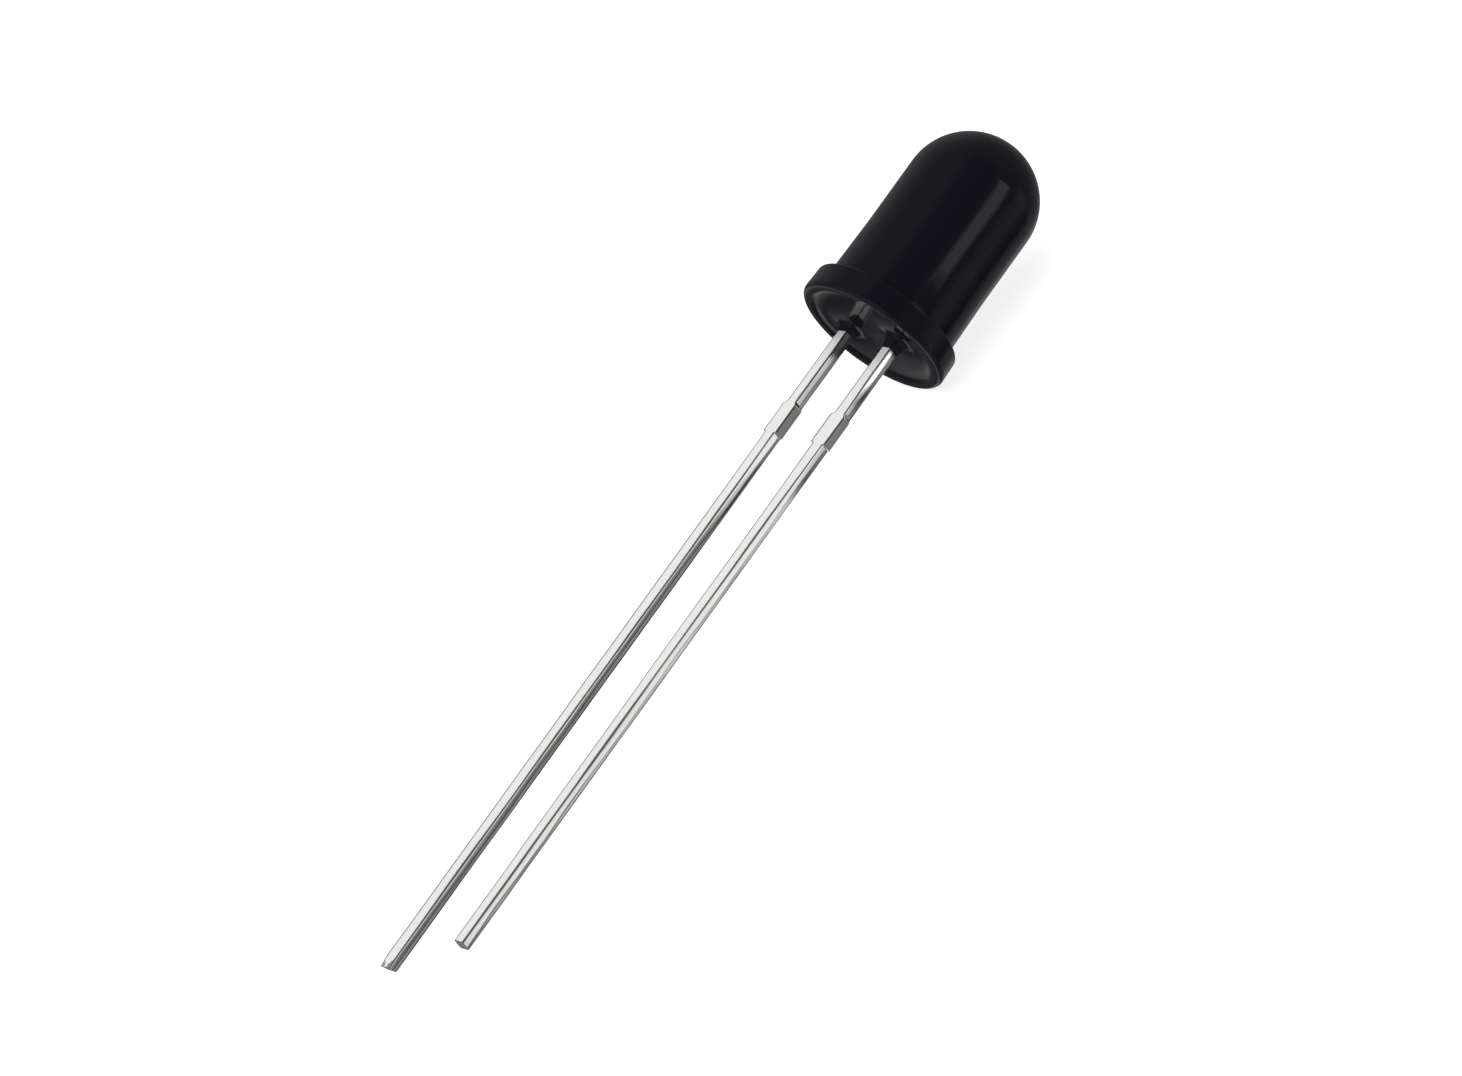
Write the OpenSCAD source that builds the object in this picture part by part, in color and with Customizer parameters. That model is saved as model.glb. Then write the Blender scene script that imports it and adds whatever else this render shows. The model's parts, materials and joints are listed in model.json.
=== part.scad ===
// Round 5 mm through-hole infrared LED, cast in black epoxy.
// Inner frame: base centre at the origin, +Z to the dome, +X from the long lead to the short one.
// Drawn as it lies on a flat surface: dome towards +X, +Z up, origin under the middle of its box.

/* [Package] */
// Diameter of the flange round the base
flange_d = 5.8; // [5.6:0.1:6.5]
// Thickness of the flange
flange_h = 1.0; // [0.6:0.1:1.8]
// Diameter of the barrel where it leaves the flange
barrel_foot_d = 5.0; // [4.7:0.05:5.1]
// Diameter of the upper barrel and of the dome that closes it
barrel_d = 4.9; // [4.5:0.05:5.1]
// Height over which the barrel's draft runs, from the flange to the upper barrel
draft_h = 2.4; // [0.8:0.1:3]
// Height from the base to the top of the dome
body_h = 8.6; // [8.2:0.1:12]
// Radius of the flange's moulded edges
edge_r = 0.1; // [0.04:0.01:0.12]
// Radius of the fillet between the flange and the barrel
root_r = 0.1; // [0.05:0.01:0.12]

/* [Cast base] */
// Width of the flat land on the rim round the base
rim_land = 0.15; // [0.05:0.05:0.3]
// Depth of the resin surface that has sunk inside the rim
sink_depth = 0.2; // [0.1:0.05:0.35]
// Radius of the resin's curve up to the rim
sink_r = 0.6; // [0.4:0.05:0.9]
// Radius of the resin's curve up each lead
climb_r = 0.5; // [0.3:0.05:0.6]
// Thickness of the resin at a lead's corners where its climb ends
climb_wall = 0.04; // [0.02:0.01:0.1]

/* [Leads] */
// Distance between the leads' centres
lead_pitch = 2.54; // [2.3:0.02:3]
// Width of a lead, in the plane of the sheet
lead_w = 0.5; // [0.42:0.01:0.6]
// Thickness of the sheet that the leads are stamped from
sheet_t = 0.45; // [0.35:0.01:0.6]
// Radius of the leads' worn-in edges
lead_edge_r = 0.08; // [0.03:0.01:0.12]
// Length of the cathode lead below the base
cathode_l = 26.8; // [9:0.1:30]
// How much longer the anode lead is
anode_extra = 1.7; // [0:0.1:4]
// Distance from the base to the tie-bar stubs
stub_drop = 3.3; // [1.5:0.1:5]
// Length of the stubs along the lead
stub_l = 1.3; // [0.6:0.1:2]
// How far a stub stands out of the lead's edge
stub_out = 0.08; // [0.04:0.01:0.2]
// Length of the slope that leads into the top of a stub
stub_slope = 0.16; // [0.05:0.01:0.3]

/* [Lead frame in the resin] */
// Height of the reflector cup's rim above the base
cup_rim_z = 5.3; // [4.9:0.1:6]
// Diameter of the upset head that holds the cup
head_d = 1.4; // [1.2:0.05:1.5]
// Height of that head
head_h = 0.9; // [0.6:0.05:1.2]
// Diameter of the cup's mouth
cup_mouth_d = 1.1; // [0.9:0.05:1.15]
// Diameter of the cup's floor
cup_floor_d = 0.55; // [0.48:0.01:0.7]
// Depth of the cup
cup_depth = 0.4; // [0.25:0.05:0.5]
// Inset of the anvil's inner edge from the head's
anvil_inset = 0.15; // [0.05:0.01:0.3]
// Height at which the anvil reaches its full width
anvil_z = 1.9; // [1.5:0.1:2.6]
// Height at which the cathode starts to widen
anvil_neck_z = 0.9; // [0.5:0.1:1.2]
// Drop of the anvil's outer corner below the head
anvil_drop = 0.6; // [0.3:0.1:1]
// Radius of the half-round resin lock in the anvil's outer edge
notch_r = 0.2; // [0.1:0.01:0.3]
// Width of the anode's post
post_w = 0.42; // [0.35:0.01:0.5]
// Distance from the cup's rim down to the top of the post
post_drop = 0.45; // [0.2:0.05:0.8]
// Width of the flat on top of the post that takes the wire
post_flat = 0.25; // [0.2:0.01:0.3]
// Drop of the post's outer corner below its top
post_slope = 0.4; // [0.1:0.05:0.8]
// Height of the barb that locks the post in the resin
barb_z = 1.4; // [0.8:0.1:2]
// Length of the barb
barb_h = 0.8; // [0.4:0.1:1.2]
// How far the barb stands out of the post
barb_out = 0.22; // [0.1:0.01:0.25]

/* [Emitter] */
// Side of the square emitter chip
chip_w = 0.3; // [0.2:0.01:0.32]
// Thickness of the chip
chip_t = 0.17; // [0.1:0.01:0.2]
// Thickness of the silver epoxy under the chip
die_attach_t = 0.02; // [0.01:0.005:0.03]
// Margin of the silver epoxy round the chip's corners
die_attach_margin = 0.02; // [0.01:0.005:0.025]
// Diameter of the gold bond wire
wire_d = 0.04; // [0.025:0.005:0.05]
// Height of the wire's arch centre above the cup's rim
arch_lift = 0.05; // [0:0.01:0.3]

/* [Hidden] */
$fn = 96;
over = 0.5;                      // how far a cutter runs past what it cuts
bite = 0.1;                      // how deep an added solid is let into what carries it

flange_r = flange_d / 2;
barrel_r = barrel_d / 2;
foot_r = barrel_foot_d / 2;
dome_z = body_h - barrel_r;
sink_flat_r = flange_r - edge_r - rim_land - sqrt(2 * sink_r * sink_depth - pow(sink_depth, 2));
climb_top_r = norm([lead_w / 2 - lead_edge_r, sheet_t / 2 - lead_edge_r]) + lead_edge_r + climb_wall;

lead_x = lead_pitch / 2;
anode_l = cathode_l + anode_extra;
head_z = cup_rim_z - head_h;
cup_floor_z = cup_rim_z - cup_depth;
chip_z = cup_floor_z + die_attach_t;
post_out_x = -lead_x - lead_w / 2;
post_in_x = post_out_x + post_w;
post_top_z = cup_rim_z - post_drop;

bond_x = post_in_x - post_flat / 2;
arch_r = -bond_x / 2;            // the wire rises from the chip on the axis and comes down on the post
arch_z = cup_rim_z + arch_lift;
ball_d = 2.4 * wire_d;           // flattened ball of the first bond
ball_h = 0.6 * wire_d;
stitch_d = 1.8 * wire_d;         // pressed foot of the second bond
stitch_h = 0.5 * wire_d;

// Rest: the flange's edge and both lead tips touch the surface, with the shorter lead on the low side.
// even_part and turn_part are what the tips' reach below the axis owes to the sheet and to the turn.
even_part = anode_extra * (sheet_t / 2 - lead_edge_r);
turn_part = ((anode_l + edge_r) * (lead_pitch + lead_w - 2 * lead_edge_r)
    + (cathode_l + edge_r) * (lead_pitch - lead_w + 2 * lead_edge_r)) / 2;
roll = asin(anode_extra * (flange_r - lead_edge_r) / norm([even_part, turn_part]))
    - atan2(even_part, turn_part);
tip_reach = (sheet_t / 2 - lead_edge_r) * cos(roll)
    + ((lead_pitch + lead_w) / 2 - lead_edge_r) * sin(roll) + lead_edge_r;
tilt = atan((flange_r - tip_reach) / (cathode_l + edge_r));
rest_z = (flange_r - edge_r) * cos(tilt) + edge_r - edge_r * sin(tilt);
reach_front = dome_z * cos(tilt) + barrel_r;
reach_back = anode_l * cos(tilt) + tip_reach * sin(tilt);

module as_it_lies() {
    translate([(reach_back - reach_front) / 2, 0, rest_z])
        rotate([0, -tilt, 0])
            rotate([roll, 0, 0])
                multmatrix([[0, 0, 1, 0], [-1, 0, 0, 0], [0, -1, 0, 0], [0, 0, 0, 1]])
                    children();
}

// A rectangle with round corners, centred
module rounded_bar(w, t, r) {
    square([w - 2 * r, t], center = true);
    square([w, t - 2 * r], center = true);
    for (x = [-1, 1], y = [-1, 1])
        translate([x * (w / 2 - r), y * (t / 2 - r)]) circle(r);
}

// A piece of the sheet, from its outline in the plane of the two leads
module stamped() {
    rotate([90, 0, 0]) linear_extrude(sheet_t, center = true) children();
}

// Half sections of the casting, turned about its axis
module flange_section() {
    square([flange_r - edge_r, flange_h]);
    translate([0, edge_r]) square([flange_r, flange_h - 2 * edge_r]);
    for (z = [edge_r, flange_h - edge_r])
        translate([flange_r - edge_r, z]) circle(edge_r);
}

module barrel_section() {
    polygon([[0, 0], [foot_r, 0], [foot_r, flange_h], [barrel_r, flange_h + draft_h],
        [barrel_r, dome_z], [0, dome_z]]);
    intersection() {
        translate([0, dome_z]) circle(barrel_r);
        translate([0, dome_z]) square(barrel_r);
    }
}

module root_fillet_section() {
    difference() {
        translate([foot_r - bite, flange_h - bite]) square(root_r + bite);
        translate([foot_r + root_r, flange_h + root_r]) circle(root_r);
    }
}

// Resin surface that has sunk inside the rim, where the mould was open
module sink_cutter() {
    translate([0, 0, -over]) cylinder(h = sink_depth + over, r = sink_flat_r);
    rotate_extrude() translate([sink_flat_r, sink_depth - sink_r]) circle(sink_r);
}

// Resin that has drawn up a lead
module climb() {
    rotate_extrude() difference() {
        translate([0, sink_depth - climb_r]) square([climb_top_r + climb_r, climb_r + bite]);
        translate([climb_top_r + climb_r, sink_depth - climb_r]) circle(climb_r);
    }
}

module casting() {
    difference() {
        rotate_extrude() {
            flange_section();
            barrel_section();
            root_fillet_section();
        }
        sink_cutter();
    }
    for (x = [-lead_x, lead_x])
        translate([x, 0, 0]) climb();
}

// One lead below the base, with the stubs of its cut tie-bar
module lead_below_base(length) {
    edge_x = lead_w / 2;
    translate([0, 0, -length]) linear_extrude(length) rounded_bar(lead_w, sheet_t, lead_edge_r);
    stamped() polygon([
        [-edge_x - stub_out, -stub_drop - stub_l], [edge_x + stub_out, -stub_drop - stub_l],
        [edge_x + stub_out, -stub_drop - stub_slope], [edge_x, -stub_drop],
        [-edge_x, -stub_drop], [-edge_x - stub_out, -stub_drop - stub_slope]]);
}

module anode_shape() {
    translate([-lead_x, 0, 0]) lead_below_base(anode_l);
    stamped() polygon([
        [post_out_x, 0], [-lead_x + lead_w / 2, 0], [-lead_x + lead_w / 2, barb_z],
        [post_in_x + barb_out, barb_z], [post_in_x, barb_z + barb_h], [post_in_x, post_top_z],
        [post_in_x - post_flat, post_top_z], [post_out_x, post_top_z - post_slope],
        [post_out_x, barb_z + barb_h], [post_out_x - barb_out, barb_z], [post_out_x, barb_z]]);
}

module cathode_shape() {
    outer_x = lead_x + lead_w / 2;
    anvil_in_x = -head_d / 2 + anvil_inset;
    translate([lead_x, 0, 0]) lead_below_base(cathode_l);
    stamped() difference() {
        polygon([[lead_x - lead_w / 2, 0], [outer_x, 0], [outer_x, head_z - anvil_drop],
            [head_d / 2, head_z], [anvil_in_x, head_z], [anvil_in_x, anvil_z],
            [lead_x - lead_w / 2, anvil_neck_z]]);
        translate([outer_x, anvil_z]) circle(notch_r);
    }
    difference() {
        translate([0, 0, head_z]) cylinder(h = head_h, d = head_d);
        translate([0, 0, cup_floor_z])
            cylinder(h = cup_depth, d1 = cup_floor_d, d2 = cup_mouth_d);
    }
}

module chip_shape() {
    translate([-chip_w / 2, -chip_w / 2, chip_z]) cube([chip_w, chip_w, chip_t]);
}

module die_attach_shape() {
    translate([0, 0, cup_floor_z])
        cylinder(h = die_attach_t, d = norm([chip_w, chip_w]) + 2 * die_attach_margin);
}

module wire_shape() {
    chip_top_z = chip_z + chip_t;
    translate([0, 0, chip_top_z]) cylinder(h = ball_h, d = ball_d);
    translate([0, 0, chip_top_z]) cylinder(h = arch_z - chip_top_z, d = wire_d);
    translate([bond_x / 2, 0, arch_z])
        rotate([90, 0, 0]) rotate_extrude(angle = 180) translate([arch_r, 0]) circle(d = wire_d);
    translate([bond_x, 0, post_top_z]) cylinder(h = arch_z - post_top_z, d = wire_d);
    translate([bond_x, 0, post_top_z]) cylinder(h = stitch_h, d = stitch_d);
}

module epoxy_body() {
    color([0.09, 0.09, 0.1]) as_it_lies() difference() {
        casting();
        anode_shape();
        cathode_shape();
        chip_shape();
        die_attach_shape();
        wire_shape();
    }
}

module anode_lead() { color([0.86, 0.85, 0.83]) as_it_lies() anode_shape(); }
module cathode_lead() { color([0.86, 0.85, 0.83]) as_it_lies() cathode_shape(); }
module emitter_chip() { color([0.25, 0.25, 0.3]) as_it_lies() chip_shape(); }
module die_attach() { color([0.7, 0.7, 0.7]) as_it_lies() die_attach_shape(); }
module bond_wire() { color([0.9, 0.7, 0.25]) as_it_lies() wire_shape(); }

epoxy_body();
anode_lead();
cathode_lead();
emitter_chip();
die_attach();
bond_wire();
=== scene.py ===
"""Looks of the infrared LED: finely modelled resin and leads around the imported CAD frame, in a plain studio.

The LED frame used below has its origin at the base centre, z along the barrel to the dome, x from the
long lead to the short one, and is in millimetres. Every mesh is made in it and then put in the row frame.
"""
import json
import math

import bmesh
import bpy
from mathutils import Matrix, Vector, noise
from mathutils.geometry import delaunay_2d_cdt


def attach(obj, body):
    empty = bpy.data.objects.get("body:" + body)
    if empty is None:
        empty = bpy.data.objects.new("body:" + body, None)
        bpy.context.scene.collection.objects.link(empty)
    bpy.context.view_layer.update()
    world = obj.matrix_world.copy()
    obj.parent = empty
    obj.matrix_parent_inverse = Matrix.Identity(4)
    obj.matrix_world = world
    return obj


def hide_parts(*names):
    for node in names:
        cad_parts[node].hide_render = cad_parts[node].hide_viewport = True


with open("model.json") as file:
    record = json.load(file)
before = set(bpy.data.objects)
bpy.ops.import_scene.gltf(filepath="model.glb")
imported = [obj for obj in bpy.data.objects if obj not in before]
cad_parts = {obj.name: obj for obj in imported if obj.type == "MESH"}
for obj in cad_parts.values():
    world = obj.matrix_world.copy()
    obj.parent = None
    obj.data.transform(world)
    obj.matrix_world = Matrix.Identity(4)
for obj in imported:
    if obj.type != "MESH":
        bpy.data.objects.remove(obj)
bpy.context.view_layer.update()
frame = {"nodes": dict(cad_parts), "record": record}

MM = 0.001

# ---------------------------------------------------------------- the LED frame, from the record's mounts

MOUNTS = {m["name"]: m for m in frame["record"]["mounts"]}


def mount_place(name):
    """Where a mount of the record lies in the row frame, in metres."""
    return Vector(MOUNTS[name]["pos_m"])


AXIS_Z = Vector(MOUNTS["barrel"]["axis"]).normalized()
AXIS_X = (mount_place("stub_seat") - mount_place("leads")).normalized()
AXIS_Y = AXIS_Z.cross(AXIS_X)
BASE = mount_place("leads") + AXIS_Z * (mount_place("base_rim") - mount_place("leads")).dot(AXIS_Z)
LED_AXES = Matrix((AXIS_X, AXIS_Y, AXIS_Z)).transposed().to_4x4()
LED_TO_ROW = Matrix.Translation(BASE) @ LED_AXES @ Matrix.Scale(MM, 4)
ROW_TO_LED = LED_TO_ROW.inverted()


def led_points(node):
    """The corners of a CAD node's mesh in the LED frame."""
    return [ROW_TO_LED @ v.co for v in frame["nodes"][node].data.vertices]


def led_height(name):
    """The height of a mount over the base, in the LED frame."""
    return (ROW_TO_LED @ mount_place(name)).z


# ---------------------------------------------------------------- sizes, mm

BODY_POINTS = led_points("epoxy_body")
FLANGE_R = max(math.hypot(p.x, p.y) for p in BODY_POINTS)
FLANGE_H = led_height("flange_shoulder")
BARREL_R = MOUNTS["barrel"]["dims"]["r_mm"]
BARREL_LENGTH = MOUNTS["barrel"]["dims"]["length_mm"]
DRAFT_TOP = led_height("barrel") - BARREL_LENGTH / 2
DOME_Z = led_height("barrel") + BARREL_LENGTH / 2
FOOT_R = BARREL_R + 0.05         # the barrel where it leaves the flange
EDGE_R = 0.1                     # the flange's shoulder edge
FLANGE_DRAFT = 0.03              # its wall leans in by this much
BASE_EDGE_R = 0.18               # the flange's edge at the base
ROOT_R = 0.1                     # fillet between flange and barrel
RIM_LAND = 0.2                   # flat land on the rim
RIM_INNER_R = FLANGE_R - BASE_EDGE_R - RIM_LAND
SEGMENTS = 240                   # round the casting

WALL_SWELL = 0.0016              # slow unevenness of the moulded wall, as a share of its radius
WALL_PACE = 0.8                  # how fast it changes round the wall
WALL_PACE_ALONG = 0.4            # and along it
WALL_SEED = 3.1
WALL_START = 0.3                 # over which it sets in above the base edge

SINK = 0.26                      # how far the resin has sunk inside the rim
# (share of that fall, reach of its exponential)
RIM_REACHES = ((0.5, 0.12), (0.5, 1.2))
CLIMBS = {"anode_lead": 0.36, "cathode_lead": 0.6}     # how far it has drawn up each lead
# (share of that climb, reach of its exponential)
CLIMB_REACHES = ((0.84, 0.08), (0.16, 0.45))
CLIMB_FADE = 0.05                # the climb ends this close to the rim
RIPPLE = 0.012                   # slow unevenness of the open resin
RIPPLE_PACE = 0.9
RIPPLE_SEED = 7.7
RIPPLE_FADE = 0.3                # and how close to the rim it ends

# the net over the open resin: its rings inside the rim, its rings round a lead and its plain grid
RIM_RINGS = (0, 0.012, 0.026, 0.045, 0.07, 0.1, 0.14, 0.19, 0.25, 0.33, 0.42)
LEAD_RINGS = (-0.04, -0.012, 0.004, 0.016, 0.03, 0.048, 0.07, 0.1, 0.14, 0.19, 0.25, 0.32)
GRID = 0.085
GRID_ROW = 0.866                 # height of a row of triangles, as a share of their side
GRID_INSET = 0.46                # the grid keeps this far from the rim
GRID_CLEAR = 0.36                # and this far from a lead
NET_TOLERANCE = 1e-7
WELD = 1e-4                      # points closer than this become one

LEAD_EDGE_R = 0.055              # worn edges of a lead
BACK_EDGE_R = 0.06               # its edges on the side that the punch left last
STUB_EDGE_R = 0.05
STUB_SLOPE = 0.16                # height of the slope at the stub's upper end
STUB_FOOT = 0.07                 # height of the slope at its lower end
STUB_SHARES = {-1: 2.1, 1: 0.85}     # reach left and right, as shares of the CAD's
STUB_RISE = 0.03                 # how much higher than in the CAD the stub starts
STUB_DROP = 0.08                 # and how much lower it ends
STUB_SEARCH = -0.5               # the CAD's stub is looked for below this height
NEAR = 0.01                      # CAD points this close count as level
DIE_ROLL = 0.1                   # width of the front face's edge that the die has pulled down
DIE_ROLL_DEPTH = 0.018
IN_RESIN = 0.2                   # how far the modelled lead runs into the resin
FRAME_CUT = 0.15                 # above this height the lead keeps its CAD form
TIP_LENGTH = 0.5                 # over which the shears have pinched a lead's end
RING_STEP = 0.14                 # between the rings of a lead
RING_CLEAR = 0.02                # the plain rings keep this far from the close ones
CORNER_STEPS = 6
SIDE_STEPS = 8


# ---------------------------------------------------------------- mesh helpers

def arc(centre, radius, start, end, steps):
    """Points on an arc in the half plane (radius, height), from one angle to another in degrees."""
    angles = [math.radians(start + (end - start) * i / steps) for i in range(steps + 1)]
    return [(centre[0] + radius * math.cos(a), centre[1] + radius * math.sin(a)) for a in angles]


def between(start, end, steps):
    """The inner points of a straight stretch."""
    return [tuple(s + (e - s) * i / steps for s, e in zip(start, end)) for i in range(1, steps)]


def smooth(t):
    """A soft step from 0 to 1."""
    t = min(max(t, 0.0), 1.0)
    return t * t * (3 - 2 * t)


def keep_place(mesh):
    """Each point of a mesh in the row frame is given its LED place in millimetres, for its material."""
    place = mesh.attributes.get("led_mm") or mesh.attributes.new("led_mm", "FLOAT_VECTOR", "POINT")
    for vertex in mesh.vertices:
        place.data[vertex.index].vector = ROW_TO_LED @ vertex.co


def finish_mesh(bm, name, sharp_deg=35):
    """A smooth-shaded object in the row frame, which keeps each point's LED place for its material."""
    mesh = bpy.data.meshes.new(name)
    bmesh.ops.recalc_face_normals(bm, faces=bm.faces)
    bm.to_mesh(mesh)
    bm.free()
    mesh.transform(LED_TO_ROW)
    keep_place(mesh)
    mesh.shade_smooth()
    mesh.set_sharp_from_angle(angle=math.radians(sharp_deg))
    made = bpy.data.objects.new(name, mesh)
    bpy.context.scene.collection.objects.link(made)
    return made


# ---------------------------------------------------------------- the resin casting

def casting_profile():
    """(radius, height) from the rim's inner edge round the flange and up the barrel to the dome's top."""
    land_r = FLANGE_R - BASE_EDGE_R
    top_r = FLANGE_R - FLANGE_DRAFT - EDGE_R
    points = [(RIM_INNER_R, 0.0)] + between((RIM_INNER_R, 0), (land_r, 0), 4)
    points += arc((land_r, BASE_EDGE_R), BASE_EDGE_R, -90, 0, 12)
    points += between((FLANGE_R, BASE_EDGE_R), (top_r + EDGE_R, FLANGE_H - EDGE_R), 8)
    points += arc((top_r, FLANGE_H - EDGE_R), EDGE_R, 0, 90, 8)
    points += between((top_r, FLANGE_H), (FOOT_R + ROOT_R, FLANGE_H), 3)
    points += arc((FOOT_R + ROOT_R, FLANGE_H + ROOT_R), ROOT_R, -90, -180, 7)
    points += between((FOOT_R, FLANGE_H + ROOT_R), (BARREL_R, DRAFT_TOP), 18)
    points += [(BARREL_R, DRAFT_TOP)] + between((BARREL_R, DRAFT_TOP), (BARREL_R, DOME_Z), 20)
    points += arc((0, DOME_Z), BARREL_R, 0, 90, 48)
    return points


def casting_swell(x, y, z):
    """Slow unevenness of the moulded wall, as a share of its radius."""
    place = Vector((x * WALL_PACE, y * WALL_PACE, z * WALL_PACE_ALONG + WALL_SEED))
    return WALL_SWELL * noise.noise(place)


def lead_distance(x, y, lead):
    """Distance from a point of the base to the outline of a lead, negative inside it."""
    over_x = abs(x - lead["x"]) - (lead["half_w"] - LEAD_EDGE_R)
    over_y = abs(y) - (lead["half_t"] - LEAD_EDGE_R)
    outside = math.hypot(max(over_x, 0), max(over_y, 0))
    return outside + min(max(over_x, over_y), 0) - LEAD_EDGE_R


def meniscus(away, reaches):
    """What is left of a climb at a distance from the wall: two exponential falls."""
    return sum(share * math.exp(-away / reach) for share, reach in reaches)


def resin_height(x, y, leads):
    """Height of the open resin surface, which has sunk in the rim and drawn up the leads."""
    inset = max(RIM_INNER_R - math.hypot(x, y), 0)
    height = SINK * (1 - meniscus(inset, RIM_REACHES))
    ripple = noise.noise(Vector((x * RIPPLE_PACE, y * RIPPLE_PACE, RIPPLE_SEED)))
    height += RIPPLE * ripple * (1 - math.exp(-inset / RIPPLE_FADE))
    for lead in leads:
        away = max(lead_distance(x, y, lead), 0)
        height -= CLIMBS[lead["node"]] * meniscus(away, CLIMB_REACHES) * (1 - math.exp(-inset / CLIMB_FADE))
    return height


def base_net(leads):
    """Triangles over the open resin surface, fine by the rim and the leads: 2-D points and faces."""
    points = []
    for inset in RIM_RINGS:
        radius = RIM_INNER_R - inset
        points += [Vector((radius * math.cos(a), radius * math.sin(a)))
                   for a in (math.tau * i / SEGMENTS for i in range(SEGMENTS))]
    rim = [(i, (i + 1) % SEGMENTS) for i in range(SEGMENTS)]
    for lead in leads:
        for away in LEAD_RINGS:
            half_w = lead["half_w"] + away
            half_t = lead["half_t"] + away
            radius = LEAD_EDGE_R + away
            outline = bar_outline(half_w, half_w, half_t, radius, radius, 6, 14)
            points += [Vector((lead["x"] + x, y)) for x, y in outline]
    steps = int(RIM_INNER_R / GRID) + 1
    for row in range(-steps, steps + 1):
        for column in range(-steps, steps + 1):
            x = (column + row % 2 / 2) * GRID
            y = row * GRID * GRID_ROW
            clear = min(lead_distance(x, y, lead) for lead in leads)
            if math.hypot(x, y) < RIM_INNER_R - GRID_INSET and clear > GRID_CLEAR:
                points.append(Vector((x, y)))
    net = delaunay_2d_cdt(points, rim, [], 1, NET_TOLERANCE)
    return net[0], net[2]


def resin_casting(leads):
    """The flange, barrel and dome turned from their profile, closed by the open resin at the base."""
    bm = bmesh.new()
    rings = []
    profile = casting_profile()
    for radius, z in profile[:-1]:
        ring = []
        for i in range(SEGMENTS):
            angle = math.tau * i / SEGMENTS
            x, y = radius * math.cos(angle), radius * math.sin(angle)
            swell = 1 + casting_swell(x, y, z) * smooth((z - BASE_EDGE_R) / WALL_START)
            ring.append(bm.verts.new((x * swell, y * swell, z)))
        rings.append(ring)
    for low, high in zip(rings, rings[1:]):
        for i in range(SEGMENTS):
            j = (i + 1) % SEGMENTS
            bm.faces.new((low[i], low[j], high[j], high[i]))
    top = bm.verts.new((0, 0, profile[-1][1]))
    for i in range(SEGMENTS):
        bm.faces.new((rings[-1][i], rings[-1][(i + 1) % SEGMENTS], top))
    points, faces = base_net(leads)
    floor = [bm.verts.new((p.x, p.y, resin_height(p.x, p.y, leads))) for p in points]
    for face in faces:
        bm.faces.new([floor[i] for i in reversed(face)])
    bmesh.ops.remove_doubles(bm, verts=bm.verts, dist=WELD)
    return finish_mesh(bm, "resin_casting")


# ---------------------------------------------------------------- the leads

def lead_sizes(node):
    """Where a lead runs and how thick it is, measured on its CAD node."""
    points = led_points(node)
    tip_z = min(p.z for p in points)
    tip = [p for p in points if p.z < tip_z + NEAR]
    low_x, high_x = min(p.x for p in tip), max(p.x for p in tip)
    half_w = (high_x - low_x) / 2
    centre = (low_x + high_x) / 2
    stub = [p for p in points if p.z < STUB_SEARCH and abs(p.x - centre) > half_w + NEAR]
    return {
        "node": node,
        "x": centre,
        "half_w": half_w,
        "half_t": max(p.y for p in tip),
        "tip": tip_z,
        "stub_top": max(p.z for p in stub) + STUB_SLOPE + STUB_RISE,
        "stub_end": min(p.z for p in stub) - STUB_DROP,
        "stub_out": max(abs(p.x - centre) for p in stub) - half_w,
    }


def bar_outline(left, right, half_t, front_r, back_r, corner_steps=CORNER_STEPS, side_steps=SIDE_STEPS):
    """A rectangle with round corners, from -left to right, whose points run counter-clockwise.

    A corner comes first, then the side after it: the back face, the left side, the front, the right side.
    """
    corners = [
        (right, half_t, back_r),
        (-left, half_t, back_r),
        (-left, -half_t, front_r),
        (right, -half_t, front_r),
    ]
    bends = []
    for k, (x, y, radius) in enumerate(corners):
        centre = (x - math.copysign(radius, x), y - math.copysign(radius, y))
        bends.append(arc(centre, radius, 90 * k, 90 * k + 90, corner_steps))
    points = []
    for k, bend in enumerate(bends):
        points += bend + between(bend[-1], bends[(k + 1) % 4][0], side_steps)
    return points


def lead_stations(lead):
    """Heights of the lead's rings, close together where its form changes."""
    slope_shares = (0, 0.15, 0.3, 0.5, 0.7, 0.85, 1)
    foot_shares = (1, 0.8, 0.6, 0.4, 0.2, 0)
    tip_shares = (0.9, 0.75, 0.6, 0.48, 0.37, 0.28, 0.2, 0.13, 0.08, 0.04, 0)
    top, end, tip = lead["stub_top"], lead["stub_end"], lead["tip"]
    heights = [IN_RESIN]
    while heights[-1] - RING_STEP > top + RING_CLEAR:
        heights.append(heights[-1] - RING_STEP)
    heights += [top - STUB_SLOPE * share for share in slope_shares]
    while heights[-1] - RING_STEP / 2 > end + STUB_FOOT + RING_CLEAR:
        heights.append(heights[-1] - RING_STEP / 2)
    heights += [end + STUB_FOOT * share for share in foot_shares]
    while heights[-1] - RING_STEP > tip + TIP_LENGTH:
        heights.append(heights[-1] - RING_STEP)
    heights += [tip + TIP_LENGTH * share for share in tip_shares]
    return heights


def stub_reach(lead, z):
    """How far the stub stands out of the lead at a height, as a share of its whole reach."""
    top, end = lead["stub_top"], lead["stub_end"]
    if z > end + STUB_FOOT:
        return smooth((top - z) / STUB_SLOPE)
    return smooth((z - end) / STUB_FOOT)


TIP_SLANTS = {"anode_lead": 0.3, "cathode_lead": -0.05}     # rise of the end cut from front to back
TIP_FACETS = {"anode_lead": 0.2, "cathode_lead": 0.1}       # slope of the facets pinched into the front
TIP_POINT = {"anode_lead": 0.97, "cathode_lead": 0.25}      # how far they have met at the very end
TIP_MIDDLE = 0.07                                           # where across the lead they meet
PINCH_SEEN = 0.004                                          # a deeper facet has the burnished finish

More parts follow.
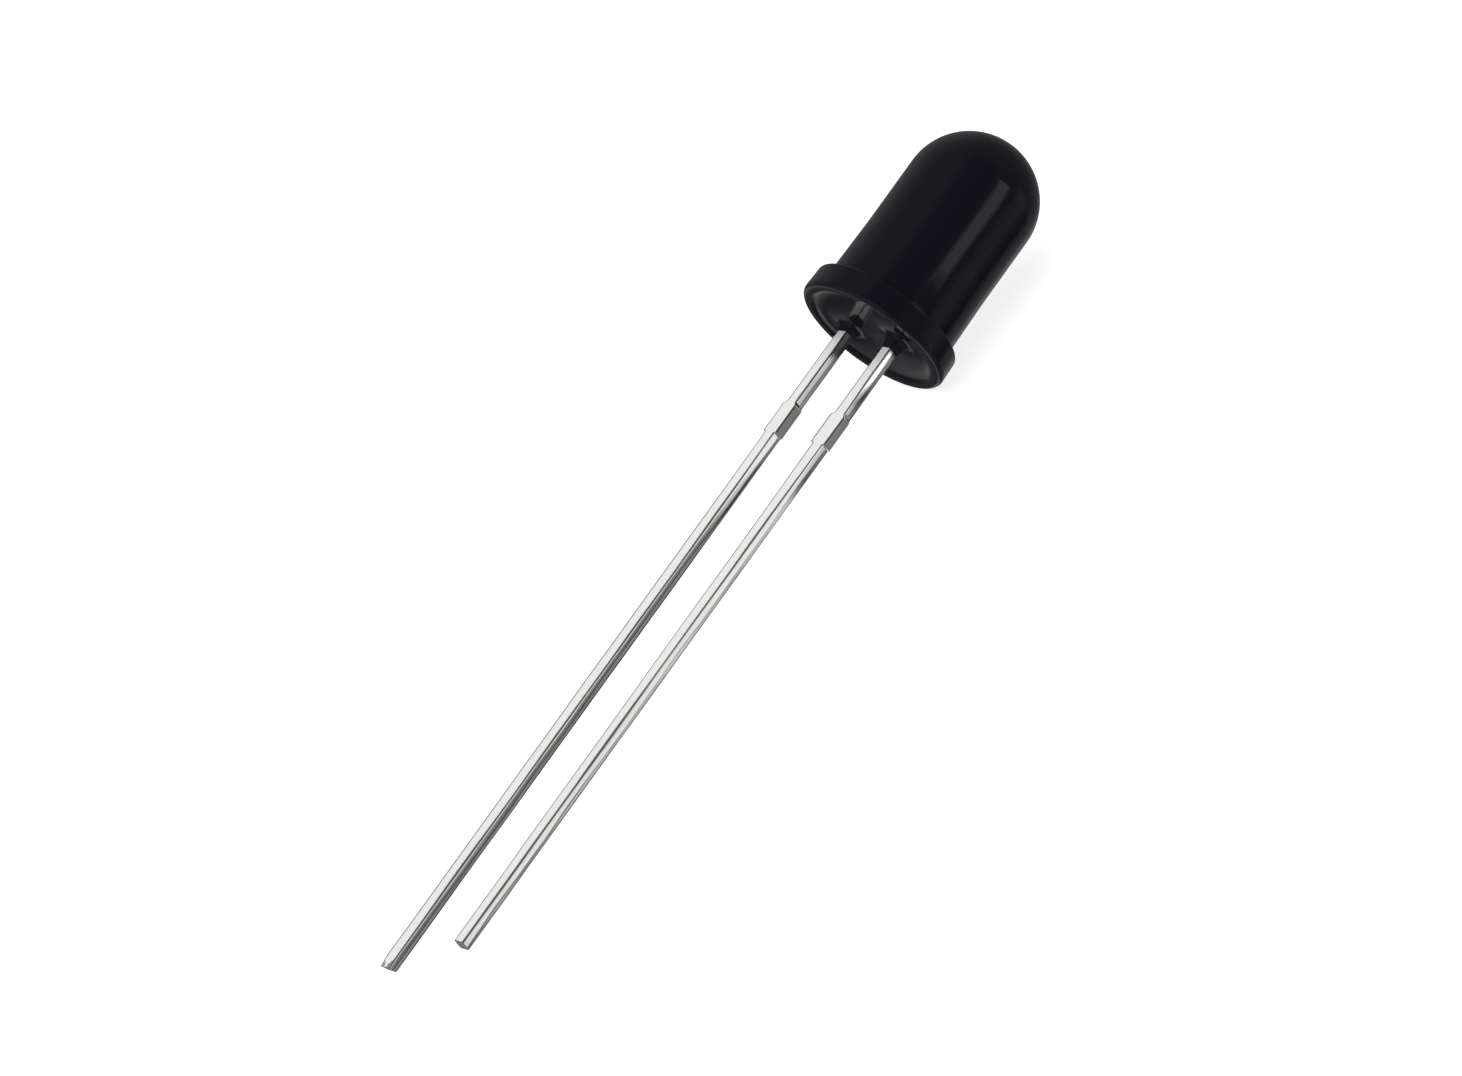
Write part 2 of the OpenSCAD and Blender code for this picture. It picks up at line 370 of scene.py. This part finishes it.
# turns of the bar about its own length: (height, degrees)
TWISTS = {
    "anode_lead": ((0, 0), (-4.7, 0), (-7, 2), (-11, 4.5), (-40, 4.5)),
    "cathode_lead": ((0, -1), (-1.4, 0), (-3.2, 5), (-4.8, 4), (-8, 0), (-16, -1), (-26, 0), (-40, 0)),
}
TWIST_BULGE = 0.12               # how much a side bulges where the bar turns

# slow unevenness of the bar: (how fast it changes along the lead, how large it is)
WAVERS = {
    "thickness": (0.7, 0.012),       # share of the half thickness
    "edge": (0.3, 0.03),             # mm on the front edges' radius
    "turn": (0.25, 1.2),             # degrees
    "aside": (0.35, 0.012),          # mm
    "lift": (0.5, 0.004),            # mm
    "break": (0.45, 0.35),           # share of the half thickness, on the break line
}
WAVER_SEEDS = {"anode_lead": 11.0, "cathode_lead": 47.0}
WAVER_STEP = 5.3                 # between the places that the wavers are read at

# a punched side, in shares of the half thickness, with the depths in mm
BREAK_LINE = 0.1                 # where its smooth part ends
TEAR_WIDTH = 0.2                 # over which it tears
TEAR_DEPTH = 0.01
TEAR_SLOPE = 0.025               # and how it falls back from there
SIDE_START = 0.8                 # share of the half width beyond which a point belongs to the side
SIDE_SOFTNESS = 0.15
STUB_TEAR = 0.7                  # share of this that the stub's cut has taken away

STUB_ROLL = 0.015                # how far the stub's front face is rolled back
STUB_ROLL_START = 0.45           # from which share of the half width
STUB_ROLL_WIDTH = 0.5
BURR = 0.004                     # the raised line at the stub's lower end
BURR_REACH = 0.03

PLATED, BURNISHED, BARE = 0, 1, 2
FRONT_FACE = 2
PUNCHED_SIDES = (1, 3)
CUT_FOOT = 0.9                   # share of the stub's foot above which it is bare
CUT_TOP = 0.001


def waver(node, z):
    """The slow unevenness of a lead at a height, by kind."""
    made = {}
    for place, (kind, (pace, size)) in enumerate(WAVERS.items()):
        made[kind] = size * noise.noise(Vector((WAVER_SEEDS[node], place * WAVER_STEP, z * pace)))
    return made


def sheared_inset(share, wander, bulge):
    """How far a punched side falls back, from its smooth front part (-1) to its torn back part (1)."""
    past = share - (BREAK_LINE + wander)
    torn = TEAR_DEPTH * smooth(past / TEAR_WIDTH) + TEAR_SLOPE * max(past - TEAR_WIDTH, 0)
    return torn + bulge * (share + 1) ** 2


def near_tip(lead, z):
    """How far a height lies in the pinched end, from 0 at its start to 1 at the tip."""
    return smooth((lead["tip"] + TIP_LENGTH - z) / TIP_LENGTH)


def tip_facet(lead, across, pinch):
    """How far the pinched end's front face falls back beside the middle of the lead."""
    start = lead["half_w"] + (TIP_MIDDLE if across < TIP_MIDDLE else -TIP_MIDDLE)
    start *= 1 - TIP_POINT[lead["node"]] * pinch
    return TIP_FACETS[lead["node"]] * max(abs(across - TIP_MIDDLE) - start, 0)


def stepped(table, z):
    """A value from a table of (height, value), read between its rows."""
    for (high, first), (low, second) in zip(table, table[1:]):
        if z >= low:
            return first + (second - first) * smooth((high - z) / (high - low))
    return table[-1][1]


def lead_ring(lead, z):
    """The lead's outline at a height, with the unevenness of a stamped and plated bar."""
    uneven = waver(lead["node"], z)
    stub = stub_reach(lead, z)
    left = lead["half_w"] + lead["stub_out"] * stub * STUB_SHARES[-1]
    right = lead["half_w"] + lead["stub_out"] * stub * STUB_SHARES[1]
    half_t = lead["half_t"] * (1 + uneven["thickness"])
    front_r = (LEAD_EDGE_R + uneven["edge"]) * (1 - stub) + STUB_EDGE_R * stub
    pinch = near_tip(lead, z)
    turn = math.radians(stepped(TWISTS[lead["node"]], z) + uneven["turn"])
    bulge = TWIST_BULGE * max(turn, 0)
    ring = []
    for x, y in bar_outline(left, right, half_t, front_r, BACK_EDGE_R):
        half_w = left if x < 0 else right
        at_side = smooth((abs(x) / half_w - SIDE_START) / SIDE_SOFTNESS)
        inset = sheared_inset(y / half_t, uneven["break"], bulge)
        x -= math.copysign(inset * at_side * (1 - STUB_TEAR * stub), x)
        if y < 0:
            y += stub * STUB_ROLL * smooth((abs(x) / half_w - STUB_ROLL_START) / STUB_ROLL_WIDTH)
            y -= BURR * math.exp(-((z - lead["stub_end"]) / BURR_REACH) ** 2)
            y += DIE_ROLL_DEPTH * max((-x - left) / DIE_ROLL + 1, 0) ** 2
            y += tip_facet(lead, x, pinch)
        turned_x = x * math.cos(turn) - y * math.sin(turn) + uneven["aside"]
        turned_y = x * math.sin(turn) + y * math.cos(turn) + uneven["lift"]
        slant = TIP_SLANTS[lead["node"]] * smooth(pinch * 2) * (turned_y + lead["half_t"])
        ring.append(Vector((lead["x"] + turned_x, turned_y, z + slant)))
    return ring


def finish_of(lead, z, side, place, across):
    """Which finish a strip of the lead shows, by its side and its place after that side's corner."""
    on_corner = place < CORNER_STEPS
    cut_low = lead["stub_end"] + STUB_FOOT * CUT_FOOT
    cut_high = lead["stub_top"] - STUB_SLOPE - CUT_TOP
    if cut_low < z < cut_high and (side in PUNCHED_SIDES or on_corner and side == FRONT_FACE):
        return BARE
    pinched = tip_facet(lead, across, near_tip(lead, z)) > PINCH_SEEN
    rolled_down = side == FRONT_FACE and (pinched or place == CORNER_STEPS)
    return BURNISHED if side in PUNCHED_SIDES or on_corner or rolled_down else PLATED


def outer_lead(lead):
    """The lead outside the resin, as a closed loft whose faces are sorted by their finish."""
    bm = bmesh.new()
    heights = lead_stations(lead)
    rings = [[bm.verts.new(p) for p in lead_ring(lead, z)] for z in heights]
    count = len(rings[0])
    for level, (upper, lower) in enumerate(zip(rings, rings[1:])):
        middle = (heights[level] + heights[level + 1]) / 2
        for i in range(count):
            j = (i + 1) % count
            face = bm.faces.new((upper[i], lower[i], lower[j], upper[j]))
            side, place = divmod(i, count // 4)
            across = (lower[i].co.x + lower[j].co.x) / 2 - lead["x"]
            face.material_index = finish_of(lead, middle, side, place, across)
    close_end(bm, rings[0], PLATED)
    close_end(bm, rings[-1], BARE)
    return bm


def close_end(bm, ring, material_index):
    """Closes a ring with two smaller rings and a fan."""
    centre = sum((v.co for v in ring), Vector()) / len(ring)
    count = len(ring)
    outer = ring
    for share in (0.75, 0.4):
        inner = [bm.verts.new(centre + (v.co - centre) * share) for v in ring]
        for i in range(count):
            j = (i + 1) % count
            bm.faces.new((outer[i], outer[j], inner[j], inner[i])).material_index = material_index
        outer = inner
    middle = bm.verts.new(centre)
    for i in range(count):
        bm.faces.new((outer[i], outer[(i + 1) % count], middle)).material_index = material_index


def sealed_frame(lead):
    """The part of the lead inside the resin, which keeps its CAD form, closed where it is cut."""
    bm = bmesh.new()
    bm.from_mesh(frame["nodes"][lead["node"]].data)
    bm.transform(ROW_TO_LED)
    parts = bm.verts[:] + bm.edges[:] + bm.faces[:]
    cut = (0, 0, FRAME_CUT)
    bmesh.ops.bisect_plane(bm, geom=parts, plane_co=cut, plane_no=(0, 0, 1), clear_inner=True)
    bmesh.ops.holes_fill(bm, edges=[e for e in bm.edges if e.is_boundary], sides=0)
    for face in bm.faces:
        face.material_index = PLATED
    return bm


def plated_lead(lead, finishes):
    """The outer lead joined to its sealed frame. The union empties led_mm, so it is filled again."""
    outer = finish_mesh(outer_lead(lead), lead["node"].replace("_lead", "_plated_lead"), 40)
    inner = finish_mesh(sealed_frame(lead), "sealed_frame", 40)
    for made in (outer, inner):
        for finish in finishes:
            made.data.materials.append(finish)
    join = outer.modifiers.new("join", "BOOLEAN")
    join.operation = "UNION"
    join.solver = "EXACT"
    join.object = inner
    joined = bpy.data.meshes.new_from_object(outer.evaluated_get(bpy.context.evaluated_depsgraph_get()))
    outer.modifiers.clear()
    outer.data = joined
    keep_place(joined)
    bpy.data.objects.remove(inner)
    return outer


# ---------------------------------------------------------------- materials

def add(tree, kind, inputs=None, **settings):
    """A new node with its settings, and its inputs set or linked."""
    made = tree.nodes.new(kind)
    for name, value in settings.items():
        setattr(made, name, value)
    for name, value in (inputs or {}).items():
        if isinstance(value, bpy.types.NodeSocket):
            tree.links.new(value, made.inputs[name])
        else:
            made.inputs[name].default_value = value
    return made


def new_material(name):
    """A new node material, with its tree and its Principled shader."""
    made = bpy.data.materials.new(name)
    made.use_nodes = True
    return made, made.node_tree, made.node_tree.nodes["Principled BSDF"]


def led_place(tree, scale):
    """The LED place of the surface, in millimetres, scaled along each axis."""
    place = add(tree, "ShaderNodeAttribute", attribute_name="led_mm")
    made = add(tree, "ShaderNodeMapping", {"Vector": place.outputs["Vector"], "Scale": scale})
    return made.outputs["Vector"]


def noise_value(tree, vector, scale, detail=4.0, roughness=0.5):
    """The value of a noise texture."""
    made = add(tree, "ShaderNodeTexNoise",
               {"Vector": vector, "Scale": scale, "Detail": detail, "Roughness": roughness})
    return made.outputs["Fac"]


def spread(tree, value, low, high, start=0.3, end=0.7):
    """A noise value spread over a range of numbers."""
    made = add(tree, "ShaderNodeMapRange",
               {"Value": value, "From Min": start, "From Max": end, "To Min": low, "To Max": high})
    return made.outputs["Result"]


def blend_colours(tree, share, first, second):
    """A mix of two RGB colours."""
    made = add(tree, "ShaderNodeMix", {"Factor": share}, data_type="RGBA")
    for socket in made.inputs:
        if socket.type == "RGBA":
            socket.default_value = (*(first if socket.name == "A" else second), 1)
    return next(socket for socket in made.outputs if socket.type == "RGBA")


def bump(tree, height, distance):
    """A normal from a height."""
    made = add(tree, "ShaderNodeBump", {"Height": height, "Distance": distance, "Strength": 1.0})
    return made.outputs["Normal"]


def black_epoxy():
    """The casting: black resin, glossy, with a faint unevenness."""
    made, tree, shader = new_material("black_epoxy")
    even = led_place(tree, (1, 1, 1))
    cloud = noise_value(tree, even, 0.8, 3)
    fine = noise_value(tree, even, 4, 1)
    tree.links.new(blend_colours(tree, cloud, (0.0052, 0.005, 0.0076), (0.0064, 0.006, 0.0092)),
                   shader.inputs["Base Color"])
    tree.links.new(spread(tree, fine, 0.05, 0.08), shader.inputs["Roughness"])
    tree.links.new(bump(tree, fine, 0.3 * MM * MM), shader.inputs["Normal"])
    shader.inputs["IOR"].default_value = 1.22
    return made


def tin_plate():
    """The rolled faces of the leads: dull, slightly streaked tin."""
    made, tree, shader = new_material("tin_plate")
    streaks = noise_value(tree, led_place(tree, (9, 9, 0.35)), 2.2, 6, 0.6)
    cloud = noise_value(tree, led_place(tree, (1, 1, 0.4)), 1.3, 4)
    tree.links.new(blend_colours(tree, cloud, (0.89, 0.885, 0.87), (0.95, 0.945, 0.935)),
                   shader.inputs["Base Color"])
    tree.links.new(spread(tree, streaks, 0.26, 0.36), shader.inputs["Roughness"])
    tree.links.new(bump(tree, streaks, 1.0 * MM * MM), shader.inputs["Normal"])
    shader.inputs["Metallic"].default_value = 0.45
    return made


def burnished_tin():
    """The sheared sides and edges, which the punch has polished lengthwise."""
    made, tree, shader = new_material("burnished_tin")
    streaks = noise_value(tree, led_place(tree, (12, 12, 0.25)), 2.0, 6, 0.6)
    cloud = noise_value(tree, led_place(tree, (1, 1, 0.4)), 1.3, 4)
    tree.links.new(blend_colours(tree, cloud, (0.84, 0.835, 0.82), (0.9, 0.895, 0.885)),
                   shader.inputs["Base Color"])
    tree.links.new(spread(tree, streaks, 0.1, 0.2), shader.inputs["Roughness"])
    tree.links.new(bump(tree, streaks, 2.0 * MM * MM), shader.inputs["Normal"])
    shader.inputs["Metallic"].default_value = 1
    return made


def cut_steel():
    """The bare faces where the tie bar and the lead ends were sheared."""
    made, tree, shader = new_material("cut_steel")
    grain = noise_value(tree, led_place(tree, (6, 1.5, 6)), 4, 6, 0.65)
    tree.links.new(blend_colours(tree, spread(tree, grain, 0, 1), (0.3, 0.3, 0.295), (0.46, 0.455, 0.445)),
                   shader.inputs["Base Color"])
    tree.links.new(spread(tree, grain, 0.38, 0.55), shader.inputs["Roughness"])
    tree.links.new(bump(tree, grain, 4 * MM * MM), shader.inputs["Normal"])
    shader.inputs["Metallic"].default_value = 1
    return made


def inner_material(name, low, high, roughness, metallic, scale):
    """A finish for a sealed CAD piece, whose grain is tied to the row frame."""
    made, tree, shader = new_material(name)
    place = add(tree, "ShaderNodeTexCoord").outputs["Object"]
    grain = noise_value(tree, place, scale, 5)
    tree.links.new(blend_colours(tree, grain, low, high), shader.inputs["Base Color"])
    tree.links.new(spread(tree, grain, *roughness), shader.inputs["Roughness"])
    shader.inputs["Metallic"].default_value = metallic
    return made


# ---------------------------------------------------------------- studio and camera

def direction(azimuth, elevation):
    """Azimuth 0 is +X and 90 is +Y."""
    a, e = math.radians(azimuth), math.radians(elevation)
    return Vector((math.cos(a) * math.cos(e), math.sin(a) * math.cos(e), math.sin(e)))


def math_node(tree, operation, *values):
    """The result of a sum on numbers or sockets."""
    return add(tree, "ShaderNodeMath", dict(enumerate(values)), operation=operation).outputs[0]


def along(tree, ray, axis):
    """How far a ray runs along an axis."""
    made = add(tree, "ShaderNodeVectorMath", {0: ray, 1: tuple(axis)}, operation="DOT_PRODUCT")
    return made.outputs["Value"]


def window(tree, value, inner, outer):
    """1 up to the inner bound of a value, falling softly to 0 at the outer."""
    made = add(tree, "ShaderNodeMapRange",
               {"Value": value, "From Min": inner, "From Max": outer, "To Min": 1.0, "To Max": 0.0},
               interpolation_type="SMOOTHSTEP")
    return made.outputs["Result"]


def softbox(tree, ray, azimuth, elevation, half_width, half_height, softness, strength):
    """Light from a rectangle of the sky, its half sizes and soft edge in degrees."""
    ahead = direction(azimuth, elevation)
    right = Vector((0, 0, 1)).cross(ahead).normalized()
    up = ahead.cross(right)
    front = along(tree, ray, ahead)
    lit = math_node(tree, "GREATER_THAN", front, 0.0)
    for axis, half in ((right, half_width), (up, half_height)):
        side = math_node(tree, "ABSOLUTE", along(tree, ray, axis))
        angle = math_node(tree, "DEGREES", math_node(tree, "ARCTAN2", side, front))
        lit = math_node(tree, "MULTIPLY", lit, window(tree, angle, half - softness, half + softness))
    return math_node(tree, "MULTIPLY", lit, strength)


# azimuth, elevation, half width, half height, soft edge in degrees, strength
SOFTBOXES = (
    (72, 26, 45, 22, 16, 0.15),      # a large one on the far side
    (-62, -32, 26, 12, 6, 0.35),     # low in front
    (153, -41, 13, 9, 5, 1.6),       # a small one, low beyond the lead tips
    (112, -50, 22, 7, 4, 0.4),       # low on the far side, for the base
    (126, -24, 24, 10, 4, 0.4),      # above that one
    (178, 25, 35, 25, 15, 0.6),      # high beyond the lead tips
    (60, 78, 25, 14, 8, 0.12),       # overhead
    (15, -63, 20, 8, 6, 0.12),       # under the dome
    (50, -52, 10, 8, 4, 0.15),       # low on the far side of the dome
)
# the same, taken away
BLACK_CARDS = (
    (-68, 46, 40, 24, 8, 0.17),      # high in front
    (-44, -58, 12, 5.5, 4, 0.17),    # low in front
    (104, -34, 20, 4.2, 1.5, 0.14),  # a narrow one, low on the far side
)
AMBIENT = 0.2


def studio_world():
    """The plain soft light all round: an even sky, the softboxes and the black cards."""
    world = bpy.data.worlds.new("studio")
    world.use_nodes = True
    tree = world.node_tree
    ray = add(tree, "ShaderNodeTexCoord").outputs["Generated"]
    light = AMBIENT
    for box in SOFTBOXES:
        light = math_node(tree, "ADD", light, softbox(tree, ray, *box))
    for card in BLACK_CARDS:
        light = math_node(tree, "SUBTRACT", light, softbox(tree, ray, *card))
    light = math_node(tree, "MAXIMUM", light, 0.0)
    tree.links.new(light, tree.nodes["Background"].inputs["Strength"])
    tree.nodes["Background"].inputs["Color"].default_value = (1, 1, 1, 1)
    bpy.context.scene.world = world


def studio_floor():
    """The plain pale floor, which mirrors don't show."""
    bm = bmesh.new()
    bmesh.ops.create_grid(bm, x_segments=2, y_segments=2, size=2.0)
    mesh = bpy.data.meshes.new("studio_floor")
    bm.to_mesh(mesh)
    bm.free()
    floor = bpy.data.objects.new("studio_floor", mesh)
    bpy.context.scene.collection.objects.link(floor)
    made, _, shader = new_material("lit_table")
    shader.inputs["Base Color"].default_value = (0.3, 0.3, 0.3, 1)
    shader.inputs["Emission Color"].default_value = (1, 1, 1, 1)
    shader.inputs["Emission Strength"].default_value = 0.85
    shader.inputs["Roughness"].default_value = 1
    shader.inputs["Specular IOR Level"].default_value = 0
    made.cycles.emission_sampling = "NONE"
    mesh.materials.append(made)
    floor.visible_glossy = False
    floor.visible_shadow = False


def overhead_light():
    """A very soft sun, which gives the part its shadow."""
    light = bpy.data.lights.new("overhead", "SUN")
    light.energy = 3.4
    light.angle = math.radians(90)
    lamp = bpy.data.objects.new("overhead", light)
    lamp.visible_glossy = False
    bpy.context.scene.collection.objects.link(lamp)


# direction (azimuth, elevation), distance from the LED's axis, shift aside, the heights on the LED between
# which its reflection is seen, width, radiance; lengths in mm
STRIP_LIGHTS = {
    "front_strip": ((-72.5, 5.5), 16, 0, (2.6, 12.3), 6.6, 0.9),
    "front_strip_core": ((-72.5, 5.5), 16, 0, (3.2, 12.0), 4.4, 1.2),
    "lead_strip": ((-62, -37), 10, 0.15, (-27, -3.8), 3.2, 0.4),
    "lead_glint": ((-62, -37), 10, 1.15, (-2.4, -0.7), 1.0, 1.2),
}


def strip_light(name, towards, away, aside, ends, width, radiance):
    """A small light close in front of the part, along it, which is seen only as a reflection."""
    low, high = ends
    light = bpy.data.lights.new(name, "AREA")
    light.shape = "RECTANGLE"
    light.size = (high - low) * MM
    light.size_y = width * MM
    light.energy = radiance * math.pi * light.size * light.size_y
    lamp = bpy.data.objects.new(name, light)
    ahead = direction(*towards)
    across = ahead.cross(AXIS_Z).normalized()
    length = across.cross(ahead)
    place = BASE + (AXIS_Z * ((low + high) / 2) + ahead * away + across * aside) * MM
    turn = Matrix((length, ahead.cross(length), ahead)).transposed().to_4x4()
    lamp.matrix_world = Matrix.Translation(place) @ turn
    lamp.visible_camera = False
    lamp.visible_diffuse = False
    bpy.context.scene.collection.objects.link(lamp)


TO_VIEWER = Vector((0.747, -0.588, -0.313))      # from the part to the camera, in the LED frame
CAMERA_UP = Vector((-0.1624, -0.6169, 0.7710))
LENS = 600
SENSOR = 36
FRAME_WIDTH = 1462                               # pixels
PIXELS_PER_MM = 28.9
BASE_PIXEL = (871.3, 337.5)                      # where the base centre lies in the frame
FRAME_CENTRE = (731, 538)


def camera():
    """The photo's view: a long lens whose frame holds the base centre at its pixel."""
    back = (LED_TO_ROW.to_3x3() @ TO_VIEWER).normalized()
    right = (LED_TO_ROW.to_3x3() @ CAMERA_UP).cross(back).normalized()
    up = back.cross(right)
    aim = BASE - right * ((BASE_PIXEL[0] - FRAME_CENTRE[0]) / PIXELS_PER_MM * MM)
    aim += up * ((BASE_PIXEL[1] - FRAME_CENTRE[1]) / PIXELS_PER_MM * MM)
    distance = LENS * FRAME_WIDTH / (SENSOR * PIXELS_PER_MM) * MM
    data = bpy.data.cameras.new("camera")
    data.lens = LENS
    data.sensor_width = SENSOR
    data.clip_start = 0.01
    data.clip_end = 20
    made = bpy.data.objects.new("camera", data)
    turn = Matrix((right, up, back)).transposed().to_4x4()
    made.matrix_world = Matrix.Translation(aim + back * distance) @ turn
    bpy.context.scene.collection.objects.link(made)
    bpy.context.scene.camera = made


# ---------------------------------------------------------------- the model

leads = [lead_sizes("anode_lead"), lead_sizes("cathode_lead")]
lead_finishes = (tin_plate(), burnished_tin(), cut_steel())

casting = resin_casting(leads)
casting.data.materials.append(black_epoxy())
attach(casting, "root")
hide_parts("epoxy_body")

for lead in leads:
    piece = plated_lead(lead, lead_finishes)
    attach(piece, "root")
    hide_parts(lead["node"])

INNER = {
    "emitter_chip": inner_material("chip", (0.03, 0.03, 0.04), (0.06, 0.06, 0.08), (0.15, 0.25), 0.3, 9000),
    "die_attach": inner_material("silver_epoxy", (0.5, 0.5, 0.5), (0.7, 0.7, 0.69), (0.4, 0.6), 0.8, 30000),
    "bond_wire": inner_material("gold_wire", (0.9, 0.62, 0.2), (1.0, 0.76, 0.34), (0.15, 0.3), 1.0, 20000),
}
for name, material in INNER.items():
    frame["nodes"][name].material_slots[0].material = material

studio_world()
studio_floor()
overhead_light()
for name, settings in STRIP_LIGHTS.items():
    strip_light(name, *settings)
camera()
bpy.context.scene.view_settings.view_transform = "Standard"
